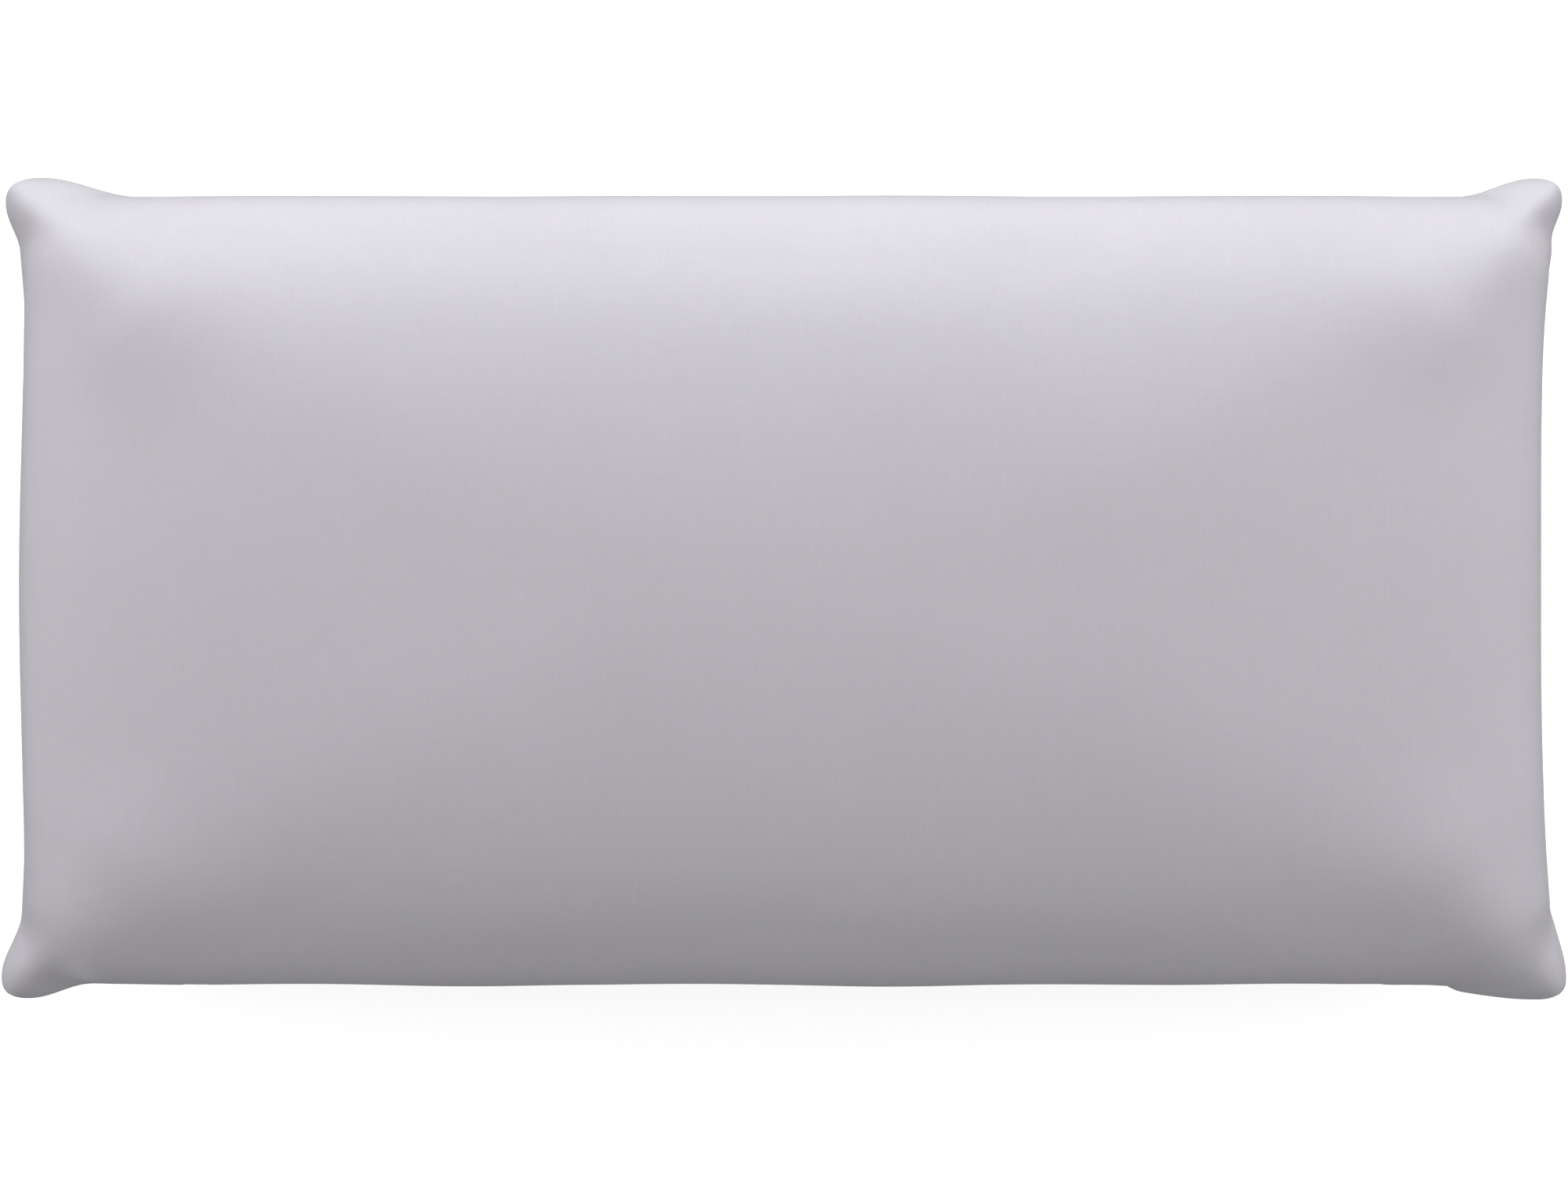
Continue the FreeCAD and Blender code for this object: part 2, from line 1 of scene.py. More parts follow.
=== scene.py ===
"""The looks of a bed pillow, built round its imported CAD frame. Shape sizes are in millimetres, and
every mesh is written in metres. +X runs along the pillow, +Y is the top of the picture, +Z faces the camera.
"""

from bisect import bisect_right
from collections import namedtuple
from math import cos, exp, hypot, pi, sin

import bpy
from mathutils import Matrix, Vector, noise


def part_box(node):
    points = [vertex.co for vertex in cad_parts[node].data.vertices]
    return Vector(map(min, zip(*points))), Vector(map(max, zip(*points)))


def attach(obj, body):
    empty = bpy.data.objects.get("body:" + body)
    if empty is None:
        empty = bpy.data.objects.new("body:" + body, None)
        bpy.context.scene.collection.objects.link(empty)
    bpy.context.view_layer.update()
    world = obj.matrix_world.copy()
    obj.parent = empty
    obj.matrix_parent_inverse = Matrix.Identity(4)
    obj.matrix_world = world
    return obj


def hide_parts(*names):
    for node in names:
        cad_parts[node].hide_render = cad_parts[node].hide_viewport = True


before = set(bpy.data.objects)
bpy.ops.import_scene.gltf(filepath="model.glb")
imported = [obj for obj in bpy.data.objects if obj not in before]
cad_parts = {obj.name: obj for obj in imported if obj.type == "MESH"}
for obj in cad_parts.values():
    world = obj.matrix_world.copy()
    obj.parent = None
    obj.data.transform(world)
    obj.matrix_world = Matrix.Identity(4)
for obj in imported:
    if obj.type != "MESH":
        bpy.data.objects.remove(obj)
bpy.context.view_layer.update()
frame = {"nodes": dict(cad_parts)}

MM = 0.001


def node_box(node):
    """A CAD node's lowest and highest corners, in millimetres."""
    return [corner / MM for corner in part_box(node)]


# ------------------------------------------------------------------ sizes

CROWN = node_box("cover_front")[1].z
SEAM = node_box("cover_front")[0].z
TAPE_FACE = node_box("zipper_tape_front")[0].y  # the tape's outer face
COVER_OVER_TAPE = 1.3
ZIPPER_FACE = TAPE_FACE - COVER_OVER_TAPE  # the cover's outer face beside the zipper
WINDOW_HALF = 6.5  # half height of the zipper's window
WINDOW_END = 270.0
WINDOW_CLOSES = WINDOW_END - 3.0, WINDOW_END + 1.0  # over this stretch its height falls to the slit's
# Along the zipper the seam lies deep. It stays deep past the window, for the pull tab to lie in,
# and then rises to the side's own outline.
RECESS_END, RECESS_FADED = 284.0, 304.0
SLIT = 0.12  # half the gap between the panels where they are sewn together
GAP_FADE = 20.0  # how far from its edge a panel still makes room for the window

# An ear: the centre and radii of its tip, how far it reaches along the long side and the end, the
# share of it that reaches further up the end, and the slope at which its front rises to the body.
Ear = namedtuple("Ear", "x y tip_x tip_y reach_long reach_end tail slope")
EARS = {
    (-1, 1): Ear(-332.0, 173.0, 16.0, 11.0, 44.0, 22.0, 0.35, 2.3),
    (1, 1): Ear(335.5, 174.0, 12.4, 9.7, 35.0, 18.0, 0.1, 2.3),
    (-1, -1): Ear(-338.0, -173.5, 11.8, 9.1, 29.0, 29.0, 0.2, 2.0),
    (1, -1): Ear(336.0, -174.0, 13.7, 9.2, 66.0, 36.0, 0.0, 2.0),
}
TAIL_REACH = 2.8  # how many times further than the ear its tail reaches
TIP_ROUNDING = 0.8  # 1 would make an ear's tip an ellipse, and 0 a box
EAR_REACH = 95.0  # how far from its tip an ear still counts, in ear_share
EAR_DROOP = 4.0  # how much lower the seam hangs at an ear's tip

# Near an ear the cover is a tent from its tip to the body, with a small round lip along its edge.
TENT_REACH = 160.0
TENT_LIMIT = 75.0  # the tent's height levels off towards this
BACK_SLOPE = 0.7  # the back's slope, as a share of the front's
LIP_HEIGHT, LIP_RUN = 4.0, 6.0
BLEND = 4  # how closely the cover follows the higher of the tent and the body
SPAN = 34.0  # how far the cloth spans the hollow between an ear and the body
SPAN_SHARE = 0.4  # the share of an ear at which it spans that far
RINGS = (0.35, 6), (0.7, 10), (1.0, 14)  # where it is averaged: share of the reach, number of places

# The sides without their ears. The left end has two slight necks, and the right end bows outwards.
TOP_BASE, BOTTOM_BASE = 175.5, 176.4
LEFT_BASE, LEFT_NECK, NECK_PERIOD = 341.0, 2.0, 240.0
RIGHT_BASE, RIGHT_BOW, BOW_REACH = 337.5, 5.3, 150.0
TOP_BOW_POWER, BOTTOM_BOW_POWER = 4.5, 3.0
WAVE_LENGTH = 90.0
TOP_WAVE, BOTTOM_WAVE, SEAM_WAVE = 0.25, 0.8, 0.8
SEAM_WAVE_FADE = 30.0  # how far past the window the seam's wave is full

# How far the seam lies in from the fullest outline. Along the zipper the cover's own depth counts.
LONG_VALLEY, END_VALLEY = 1.4, 0.5
CALM_SHARE = 0.5  # the share of an ear at which the valley and the groove have faded away
GROOVE = 0.7  # how far the panels' edges turn in at the seam
TURN_END = 2.0  # how far from its edge a panel has come out of the groove
SWELL = 2.5, 9.0  # over this stretch it swells from the valley to the fullest outline
COVER_THICKNESS = 0.9
THREAD_RADIUS = 0.3

# How a panel rises from its edge: over what run, how round its crown is, and how steep its side is.
Profile = namedtuple("Profile", "run crown side")
FRONT_ALONG, FRONT_ACROSS = Profile(345.0, 3.0, 3.4), Profile(176.0, 2.1, 3.3)
BACK_ALONG, BACK_ACROSS = Profile(112.0, 2.1, 3.2), Profile(97.0, 2.1, 3.2)
BODY_CORNER = 38.0  # corner radius of the filled body, inside the ears
RIDGE_SHARPNESS = 2.7  # of the ridges that run in from the corners

LENGTH, WIDTH = 700.0, 351.0  # what a grid's shares along and across the pillow stand for

# A grid's cells along and across the pillow, and how strongly its lines crowd towards the edges.
Grid = namedtuple("Grid", "columns rows crowding")
FINE = Grid(300, 170, 2.8)
COARSE = Grid(120, 64, 1.8)  # for the cloth simulation

CLOTH_FRAMES = 18
CLOTH_LIMIT = 3.0  # the furthest that the simulation may move the cloth
CLOTH_CALMING = 12  # how often its moves are averaged, so that only a soft swelling is left
OWN_SHARE = 0.4  # what a move keeps of itself each time


def smooth(low, high, value):
    """0 below low, 1 above high, and smooth between."""
    share = min(max((value - low) / (high - low), 0.0), 1.0)
    return share * share * (3.0 - 2.0 * share)


def bump(distance, reach):
    """1 at distance 0, falling smoothly to 0 at reach."""
    return 0.5 + 0.5 * cos(pi * min(abs(distance) / reach, 1.0))


def flare(distance, ear):
    """An ear's share of an end's outline at a distance from its tip: a lobe, and often a faint tail."""
    lobe, tail = bump(distance, ear.reach_end), bump(distance, TAIL_REACH * ear.reach_end)
    return (1.0 - ear.tail) * lobe + ear.tail * tail


def wave(place, seed):
    """A slow wave between about -1 and 1 with no fixed period."""
    return 2.0 * noise.noise(Vector((place / WAVE_LENGTH, seed, 0.0)))


# ------------------------------------------------------------------ the outline at the seam


def in_window(x):
    """1 along the zipper's window, 0 past its ends."""
    return 1.0 - smooth(*WINDOW_CLOSES, abs(x))


def ear_share(x, y):
    """1 at an ear's tip, falling to 0 away from it."""
    return max(bump(hypot(x - ear.x, y - ear.y), EAR_REACH) for ear in EARS.values())


def long_base(x, side, valley=0.0):
    """How far a long side lies from the middle at x, without its ears. side is 1 at the top."""
    if side > 0:
        return TOP_BASE - valley * LONG_VALLEY + TOP_WAVE * wave(x, 1.0)
    free = BOTTOM_BASE + BOTTOM_WAVE * wave(x, 5.0)
    depth = free + ZIPPER_FACE
    return free - valley * depth


def end_base(y, side, valley=0.0):
    """How far an end lies from the middle at y, without its ears. side is 1 at the right."""
    if side > 0:
        power = TOP_BOW_POWER if y > 0 else BOTTOM_BOW_POWER
        base = RIGHT_BASE + RIGHT_BOW * min(abs(y) / BOW_REACH, 1.0) ** power
    else:
        base = LEFT_BASE - LEFT_NECK * (0.5 - 0.5 * cos(2.0 * pi * y / NECK_PERIOD))
    return base - valley * END_VALLEY


def long_side(x, side, valley, groove):
    """The y of a long side at x, with its ears."""
    if side > 0:
        calm = 1.0 - smooth(0.0, CALM_SHARE, ear_share(x, TOP_BASE))
    else:
        calm = 1.0 - smooth(RECESS_END, RECESS_FADED, abs(x))
    base = long_base(x, side, valley * calm)
    for ear in (EARS[-1, side], EARS[1, side]):
        peak = abs(ear.y) + ear.tip_y
        base += (peak - base) * bump(x - ear.x, ear.reach_long)
    free = 1.0 - in_window(x) if side < 0 else 1.0
    return side * (base - groove * GROOVE * calm * free)


def end_side(y, side, valley, groove):
    """The x of an end at y, with its ears."""
    calm = 1.0 - smooth(0.0, CALM_SHARE, ear_share(side * LEFT_BASE, y))
    base = end_base(y, side, valley * calm)
    for ear in (EARS[side, -1], EARS[side, 1]):
        peak = abs(ear.x) + ear.tip_x
        base += (peak - base) * flare(y - ear.y, ear)
    return side * (base - groove * GROOVE * calm)


def tip_point(ear, angle):
    """A point on an ear's round tip. At angle 0 it is furthest out in x, and a quarter turn on in y."""
    side_x = 1 if ear.x > 0 else -1
    side_y = 1 if ear.y > 0 else -1
    return (
        ear.x + side_x * ear.tip_x * max(cos(angle), 0.0) ** TIP_ROUNDING,
        ear.y + side_y * ear.tip_y * max(sin(angle), 0.0) ** TIP_ROUNDING,
    )


def side_points(side_x, side_y, valley, groove):
    """The points of one side, from the middle of one ear's tip to the middle of the next.

    side_x is 0 for a long side, whose sign is side_y, and the other way about for an end.
    """
    steps, tip_steps = 400, 12
    turn = pi / 4 / tip_steps
    if side_x == 0:
        first, last = EARS[-1, side_y], EARS[1, side_y]
        run = [first.x + (last.x - first.x) * i / steps for i in range(steps + 1)]
        middle = [(x, long_side(x, side_y, valley, groove)) for x in run]
        angles = [pi / 4 + turn * i for i in range(tip_steps)]
    else:
        first, last = EARS[side_x, -1], EARS[side_x, 1]
        run = [first.y + (last.y - first.y) * i / steps for i in range(steps + 1)]
        middle = [(end_side(y, side_x, valley, groove), y) for y in run]
        angles = [pi / 4 - turn * i for i in range(tip_steps)]
    start = [tip_point(first, angle) for angle in angles]
    end = [tip_point(last, angle) for angle in reversed(angles)]
    return start + middle + end


def by_length(points, shares):
    """The points at these shares of the whole line's length."""
    lengths = [0.0]
    for (ax, ay), (bx, by) in zip(points, points[1:]):
        lengths.append(lengths[-1] + hypot(bx - ax, by - ay))
    found, index = [], 0
    for share in shares:
        goal = share * lengths[-1]
        while index < len(points) - 2 and lengths[index + 1] < goal:
            index += 1
        gap = lengths[index + 1] - lengths[index]
        part = (goal - lengths[index]) / gap if gap else 0.0
        (ax, ay), (bx, by) = points[index], points[index + 1]
        found.append((ax + (bx - ax) * part, ay + (by - ay) * part))
    return found


def crowded(count, crowding):
    """Shares from 0 to 1 that crowd towards both ends."""
    shares = []
    for index in range(count + 1):
        place = 2.0 * index / count - 1.0
        reach = 1.0 - (1.0 - abs(place)) ** crowding
        shares.append(0.5 + (0.5 if place > 0 else -0.5) * reach)
    return shares


def grid_shares(grid):
    """The places of a grid's lines along and across the pillow, as shares."""
    return crowded(grid.columns, grid.crowding), crowded(grid.rows, grid.crowding)


def coons(bottom, top, left, right, s, t):
    """A value inside a patch from the values at the same shares of its four sides.

    left and right are (start, here, end), for the corners count twice.
    """
    sides = (1 - t) * bottom + t * top + (1 - s) * left[1] + s * right[1]
    corners = (1 - s) * ((1 - t) * left[0] + t * left[2]) + s * ((1 - t) * right[0] + t * right[2])
    return sides - corners


def outline_patch(grid, valley, groove):
    """A grid of (x, y) that fills the outline, its lines running from side to side."""
    across, upward = grid_shares(grid)
    bottom = by_length(side_points(0, -1, valley, groove), across)
    top = by_length(side_points(0, 1, valley, groove), across)
    left = by_length(side_points(-1, 0, valley, groove), upward)
    right = by_length(side_points(1, 0, valley, groove), upward)
    patch = []
    for j, t in enumerate(upward):
        row = []
        for i, s in enumerate(across):
            row.append(
                tuple(
                    coons(
                        bottom[i][k],
                        top[i][k],
                        (left[0][k], left[j][k], left[-1][k]),
                        (right[0][k], right[j][k], right[-1][k]),
                        s,
                        t,
                    )
                    for k in (0, 1)
                )
            )
        patch.append(row)
    return patch


# ------------------------------------------------------------------ the panels


def profile_height(profile, from_side):
    """How high a panel has risen at a distance from its side: 0 at the side and 1 past the run."""
    short = max(0.0, 1.0 - from_side / profile.run)
    return (1.0 - short**profile.crown) ** (1.0 / profile.side)


def missing(profile, from_side):
    """How much of its full height a panel still lacks at a distance from its side."""
    return 1.0 - profile_height(profile, from_side)


def body_rise(x, y, up):
    """The height of the filled body above the seam at a place, from 0 to 1."""
    along, across = (FRONT_ALONG, FRONT_ACROSS) if up else (BACK_ALONG, BACK_ACROSS)
    from_end = end_base(y, 1 if x > 0 else -1) - abs(x)
    from_long = long_base(x, 1 if y > 0 else -1) - abs(y)
    if min(from_end, from_long) <= 0.0:
        return 0.0
    if max(from_end, from_long) < BODY_CORNER:
        # Round the corner the side is one arc, so the nearest point of it counts, and not both sides.
        past_x, past_y = BODY_CORNER - from_end, BODY_CORNER - from_long
        from_arc = BODY_CORNER - hypot(past_x, past_y)
        if from_arc <= 0.0:
            return 0.0
        share = past_x**2 / (past_x**2 + past_y**2)
        near = share * missing(along, from_arc) + (1.0 - share) * missing(across, from_arc)
        far = (1.0 - share) * missing(along, BODY_CORNER) + share * missing(across, BODY_CORNER)
    else:
        near, far = missing(along, from_end), missing(across, from_long)
    q = RIDGE_SHARPNESS
    return max(0.0, 1.0 - (near**q + far**q) ** (1.0 / q))


def ear_rise(x, y, from_end, from_long, up):
    """The height, in millimetres, of the cover stretched like a tent from an ear's tip to the body."""
    if min(from_end, from_long) <= 0.0:
        return 0.0
    ear = EARS[1 if x > 0 else -1, 1 if y > 0 else -1]
    near = bump(hypot(x - ear.x, y - ear.y), TENT_REACH)
    from_edge = from_end * from_long / hypot(from_end, from_long)
    lip = LIP_HEIGHT * (1.0 - max(0.0, 1.0 - from_edge / LIP_RUN) ** 2.0) ** 0.5
    height = near * (lip + from_edge * ear.slope * (1.0 if up else BACK_SLOPE))
    return TENT_LIMIT * (1.0 - exp(-height / TENT_LIMIT))


def sharp_rise(x, y, from_end, from_long, full_height, up):
    """How far, in millimetres, body and tent lift a panel away from its seam at a place."""
    body = full_height * body_rise(x, y, up)
    ear = ear_rise(x, y, from_end, from_long, up)
    return min((body**BLEND + ear**BLEND) ** (1.0 / BLEND), full_height)


def soft_rise(x, y, from_end, from_long, full_height, up):
    """The rise, averaged over a disc near an ear, where the cloth spans the hollow beside the body.

    The disc shrinks towards the edges, and never reaches past them.
    """
    centre = sharp_rise(x, y, from_end, from_long, full_height, up)
    span = SPAN * smooth(0.0, SPAN_SHARE, ear_share(x, y))
    if span < 0.01:
        return centre
    room = from_end * from_long / hypot(from_end, from_long)
    reach = span * room / (span + room)
    total, samples = centre, 1
    for ring, count in RINGS:
        for index in range(count):
            angle = 2.0 * pi * index / count
            dx, dy = reach * ring * cos(angle), reach * ring * sin(angle)
            inward_x, inward_y = (-dx if x > 0 else dx), (-dy if y > 0 else dy)
            place = x + dx, y + dy, from_end + inward_x, from_long + inward_y
            total += sharp_rise(*place, full_height, up)
            samples += 1
    return total / samples


def edge_height(x, y):
    """The height of the seam at a point of the outline."""
    straight = 1.0 - smooth(WINDOW_END, WINDOW_END + SEAM_WAVE_FADE, abs(x)) if y < 0 else 0.0
    return SEAM - EAR_DROOP * ear_share(x, y) + (1.0 - straight) * SEAM_WAVE * wave(x + y, 9.0)


def half_gap(x, y):
    """Half the height of the gap between the panels' edges: the window's, or a mere slit elsewhere."""
    return SLIT + (WINDOW_HALF - SLIT) * in_window(x) if y < 0 else SLIT


def panel_points(grid, up):
    """The grid of points of one panel, and how far each lies above or below the seam's height.

    The panel starts at the seam, comes out of the groove, and swells from there to the full outline.
    """
    across, upward = grid_shares(grid)
    seam, band, full = (outline_patch(grid, *kind) for kind in ((1, 1), (1, 0), (0, 0)))
    low_edge = [edge_height(*point) for point in seam[0]]
    high_edge = [edge_height(*point) for point in seam[-1]]
    left_edge = [edge_height(*row[0]) for row in seam]
    right_edge = [edge_height(*row[-1]) for row in seam]
    goal, sign = (CROWN, 1.0) if up else (0.0, -1.0)
    rows, distances = [], []
    for j, t in enumerate(upward):
        row = []
        for i, s in enumerate(across):
            left = left_edge[0], left_edge[j], left_edge[-1]
            right = right_edge[0], right_edge[j], right_edge[-1]
            edge = coons(low_edge[i], high_edge[i], left, right, s, t)
            from_end, from_long = LENGTH * min(s, 1.0 - s), WIDTH * min(t, 1.0 - t)
            from_seam = 0.0
            if from_end > 0.0 and from_long > 0.0:
                from_seam = soft_rise(*full[j][i], from_end, from_long, abs(goal - edge), up)
            from_seam += half_gap(*seam[j][i]) * (1.0 - smooth(0.0, GAP_FADE, from_seam))
            from_edge = from_seam - half_gap(*seam[j][i])
            turn = smooth(0.0, TURN_END, from_edge)
            swell = smooth(*SWELL, from_edge)
            place = []
            for k in (0, 1):
                start, middle, end = seam[j][i][k], band[j][i][k], full[j][i][k]
                place.append(start + (middle - start) * turn + (end - middle) * swell)
            row.append(Vector((*place, edge + sign * from_seam)))
            distances.append(from_seam)
        rows.append(row)
    return rows, distances


# ------------------------------------------------------------------ the cloth


def calmed(field):
    """The moves with each one averaged with its neighbours, and those along the edge held at nothing."""
    last_row, last_column = len(field) - 1, len(field[0]) - 1
    result = []
    for j, row in enumerate(field):
        moves = []
        for i, move in enumerate(row):
            if i in (0, last_column) or j in (0, last_row):
                moves.append(move * 0.0)
            else:
                beside = field[j - 1][i] + field[j + 1][i] + row[i - 1] + row[i + 1]
                moves.append(move * OWN_SHARE + beside * ((1.0 - OWN_SHARE) / 4.0))
        result.append(moves)
    return result


def blown_up(rows, up):
    """How far each point of a coarse panel moves when its cloth, a little too large, fills with air.

    The panel's edge is held. Only moves outward count, each one is limited, and all are averaged, so
    that the panel stays clear of the liner and keeps its shape.
    """
    cloth = grid_object("cloth_trial", rows, flip=not up)
    columns = len(rows[0])
    held = cloth.vertex_groups.new(name="held")
    for index in range(len(cloth.data.vertices)):
        j, i = divmod(index, columns)
        if i in (0, columns - 1) or j in (0, len(rows) - 1):
            held.add([index], 1.0, "REPLACE")
    modifier = cloth.modifiers.new("cloth", "CLOTH")
    settings = modifier.settings
    settings.quality = 6
    settings.mass = 0.15
    settings.tension_stiffness = settings.compression_stiffness = 18.0
    settings.shear_stiffness = 8.0
    settings.bending_stiffness = 0.6
    settings.use_pressure = True
    settings.uniform_pressure_force = 4.0
    settings.shrink_min = -0.012
    settings.vertex_group_mass = held.name
    settings.effector_weights.gravity = 0.0
    modifier.point_cache.frame_start = 1
    modifier.point_cache.frame_end = CLOTH_FRAMES
    scene = bpy.context.scene
    for frame_number in range(1, CLOTH_FRAMES + 1):
        scene.frame_set(frame_number)
    shape = cloth.evaluated_get(bpy.context.evaluated_depsgraph_get()).to_mesh()
    field = []
    for j, row in enumerate(rows):
        moves = []
        for i, point in enumerate(row):
            outward = cloth.data.vertices[j * columns + i].normal
            move = max(0.0, (shape.vertices[j * columns + i].co / MM - point).dot(outward))
            moves.append(outward * (CLOTH_LIMIT * move / (CLOTH_LIMIT + move)))
        field.append(moves)
    for _ in range(CLOTH_CALMING):
        field = calmed(field)
    scene.frame_set(1)
    mesh = cloth.data
    bpy.data.objects.remove(cloth)
    bpy.data.meshes.remove(mesh)
    return field


def between(shares, value):
    """The index of the share just below value, and how far value is on the way to the next."""
    index = max(0, min(bisect_right(shares, value), len(shares) - 1) - 1)
    return index, (value - shares[index]) / (shares[index + 1] - shares[index])


def add_moves(rows, field):
    """Adds a coarse grid's moves to the points of the fine grid."""
    coarse_across, coarse_upward = grid_shares(COARSE)
    across, upward = grid_shares(FINE)
    for row, t in zip(rows, upward):
        j, v = between(coarse_upward, t)
        for point, s in zip(row, across):
            i, u = between(coarse_across, s)
            low = field[j][i].lerp(field[j][i + 1], u)
            high = field[j + 1][i].lerp(field[j + 1][i + 1], u)
            point += low.lerp(high, v)
            point.z = max(point.z, 0.0)


def grid_object(name, rows, flip):
    """A smooth mesh from a grid of points in millimetres. Its UVs hold lengths of cloth in metres."""
    count = len(rows[0])
    verts = [point * MM for row in rows for point in row]
    faces = []
    for j in range(len(rows) - 1):
        for i in range(count - 1):
            face = (j * count + i, j * count + i + 1, (j + 1) * count + i + 1, (j + 1) * count + i)
            faces.append(face[::-1] if flip else face)
    mesh = bpy.data.meshes.new(name)
    mesh.from_pydata(verts, [], faces)
    uvs = mesh.uv_layers.new(name="cloth")
    middle_row, middle_column = len(rows) // 2, count // 2
    along = running_length(rows[middle_row])
    across = running_length([row[middle_column] for row in rows])
    for loop in mesh.loops:
        j, i = divmod(loop.vertex_index, count)
        uvs.data[loop.index].uv = (along[i] * MM, across[j] * MM)
    mesh.polygons.foreach_set("use_smooth", [True] * len(mesh.polygons))
    obj = bpy.data.objects.new(name, mesh)
    bpy.context.scene.collection.objects.link(obj)
    return obj


def running_length(points):
    """The length of a line of points up to each of them."""
    lengths = [0.0]
    for a, b in zip(points, points[1:]):
        lengths.append(lengths[-1] + (b - a).length)
    return lengths


def make_panel(name, up):
    """One knitted panel: its shape, the swelling that the simulation gives it, and its thickness."""
    rows, distances = panel_points(FINE, up)
    add_moves(rows, blown_up(panel_points(COARSE, up)[0], up))
    panel = grid_object(name, rows, flip=not up)
    from_seam = panel.data.attributes.new("from_seam", "FLOAT", "POINT")
    from_seam.data.foreach_set("value", distances)
    thick = panel.modifiers.new("thickness", "SOLIDIFY")
    thick.thickness = COVER_THICKNESS * MM
    thick.offset = -1.0
    return panel


def make_seam_thread():
    """The thread in the groove between the panels, which stops at both ends of the zipper."""
    bottom = [p for p in side_points(0, -1, 1, 1) if abs(p[0]) > WINDOW_END]
    left_part = [p for p in bottom if p[0] < 0]
    right_part = [p for p in bottom if p[0] > 0]
    points = left_part[::-1] + side_points(-1, 0, 1, 1) + side_points(0, 1, 1, 1)
    points += side_points(1, 0, 1, 1)[::-1] + right_part[::-1]
    data = bpy.data.curves.new("cover_seam_line", "CURVE")
    data.dimensions = "3D"
    data.bevel_depth = THREAD_RADIUS * MM
    data.bevel_resolution = 2
    line = data.splines.new("POLY")
    line.points.add(len(points) - 1)
    for place, (x, y) in zip(line.points, points):
        inward = 1.0 - THREAD_RADIUS / hypot(x, y)
        place.co = (x * inward * MM, y * inward * MM, edge_height(x, y) * MM, 1.0)
    curve = bpy.data.objects.new("cover_seam_line_curve", data)
    mesh = bpy.data.meshes.new_from_object(curve)
    bpy.data.objects.remove(curve)
    thread = bpy.data.objects.new("cover_seam_line", mesh)
    bpy.context.scene.collection.objects.link(thread)
    return thread


# ------------------------------------------------------------------ materials


class Nodes:
    """Short calls for building a material's node tree."""

    def __init__(self, name):
        self.material = bpy.data.materials.new(name)
        self.material.use_nodes = True
        self.tree = self.material.node_tree
        self.shader = self.tree.nodes["Principled BSDF"]

    def new(self, kind, **values):
        node = self.tree.nodes.new(f"ShaderNode{kind}")
        for key, value in values.items():
            setattr(node, key, value)
        return node

    def link(self, source, target):
        self.tree.links.new(source, target)

    def feed(self, socket, value):
        """Links value to the socket, or sets it if it is a plain number or colour."""
        if isinstance(value, bpy.types.NodeSocket):
            self.link(value, socket)
        else:
            socket.default_value = value

    def math(self, operation, *values):
        node = self.new("Math", operation=operation)
        for socket, value in zip(node.inputs, values):
            self.feed(socket, value)
        return node.outputs[0]

    def noise(self, coordinates, scale, detail=2.0, roughness=0.5):
        node = self.new("TexNoise")
        self.link(coordinates, node.inputs["Vector"])
        node.inputs["Scale"].default_value = scale
        node.inputs["Detail"].default_value = detail
        node.inputs["Roughness"].default_value = roughness
        return node.outputs["Fac"]

    def stretched(self, coordinates, scale):
        node = self.new("Mapping")
        self.link(coordinates, node.inputs["Vector"])
        node.inputs["Scale"].default_value = scale
        return node.outputs["Vector"]

    def ramp(self, value, stops):
        """Colours along a value: stops are (position, (r, g, b))."""
        node = self.new("ValToRGB")
        self.link(value, node.inputs["Fac"])
        elements = node.color_ramp.elements
        for index, (position, colour) in enumerate(stops):
            element = elements[index] if index < 2 else elements.new(position)
            element.position = position
            element.color = (*colour, 1.0)
        return node.outputs["Color"]

    def bump(self, height, distance, strength=1.0, normal=None):
        node = self.new("Bump")
        self.link(height, node.inputs["Height"])
        node.inputs["Distance"].default_value = distance
        node.inputs["Strength"].default_value = strength
        if normal is not None:
            self.link(normal, node.inputs["Normal"])
        return node.outputs["Normal"]


